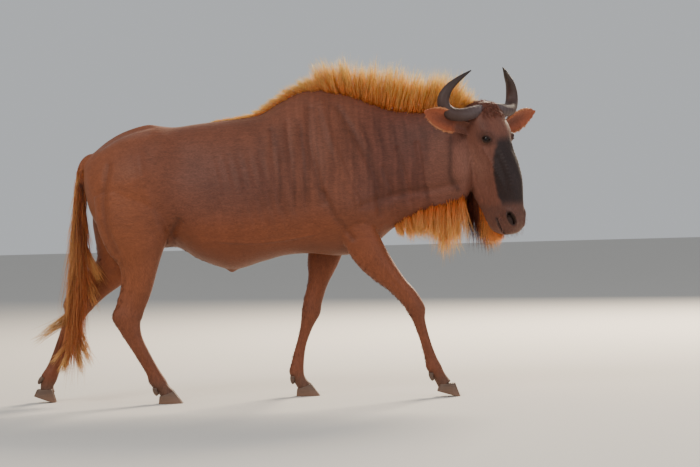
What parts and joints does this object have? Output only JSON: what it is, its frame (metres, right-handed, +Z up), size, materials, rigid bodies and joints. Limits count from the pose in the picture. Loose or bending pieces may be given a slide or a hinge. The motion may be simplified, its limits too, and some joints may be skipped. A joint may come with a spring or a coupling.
{
  "type": "wildebeest",
  "caption": "Life-size model of a golden wildebeest bull in mid walk, with its head turned aside, a standing mane, a hanging beard and a long tufted tail",
  "frame": {"origin": "middle of the bounding box at floor level", "axes": "+X is the way it walks, +Y its left side, +Z up"},
  "size_m": [2.2549, 0.5862, 1.4854],
  "materials": {
    "coat": "short smooth reddish brown fur",
    "mane_hair": "long coarse golden hair",
    "tail_hair": "long coarse dark reddish hair",
    "horn": "smooth grey-brown horn",
    "hoof": "dull grey-black hoof",
    "eye": "wet dark brown"
  },
  "bodies": {
    "root": {"torso": "coat", "neck": "coat", "head": "coat", "right_fore_upper": "coat", "right_fore_lower": "coat", "right_fore_claw_right": "hoof", "right_fore_dewclaw_right": "hoof", "right_fore_claw_left": "hoof", "right_fore_dewclaw_left": "hoof", "left_fore_upper": "coat", "left_fore_lower": "coat", "left_fore_claw_right": "hoof", "left_fore_dewclaw_right": "hoof", "left_fore_claw_left": "hoof", "left_fore_dewclaw_left": "hoof", "right_hind_upper": "coat", "right_hind_lower": "coat", "right_hind_claw_right": "hoof", "right_hind_dewclaw_right": "hoof", "right_hind_claw_left": "hoof", "right_hind_dewclaw_left": "hoof", "left_hind_upper": "coat", "left_hind_lower": "coat", "left_hind_claw_right": "hoof", "left_hind_dewclaw_right": "hoof", "left_hind_claw_left": "hoof", "left_hind_dewclaw_left": "hoof", "eye_right": "eye", "horn_right": "horn", "ear_right": "coat", "eye_left": "eye", "horn_left": "horn", "ear_left": "coat", "mane_neck": "mane_hair", "mane_withers": "mane_hair", "beard_throat": "mane_hair", "beard_chin": "mane_hair", "tail_dock": "coat", "tail_tuft": "tail_hair"}
  },
  "joints": []
}
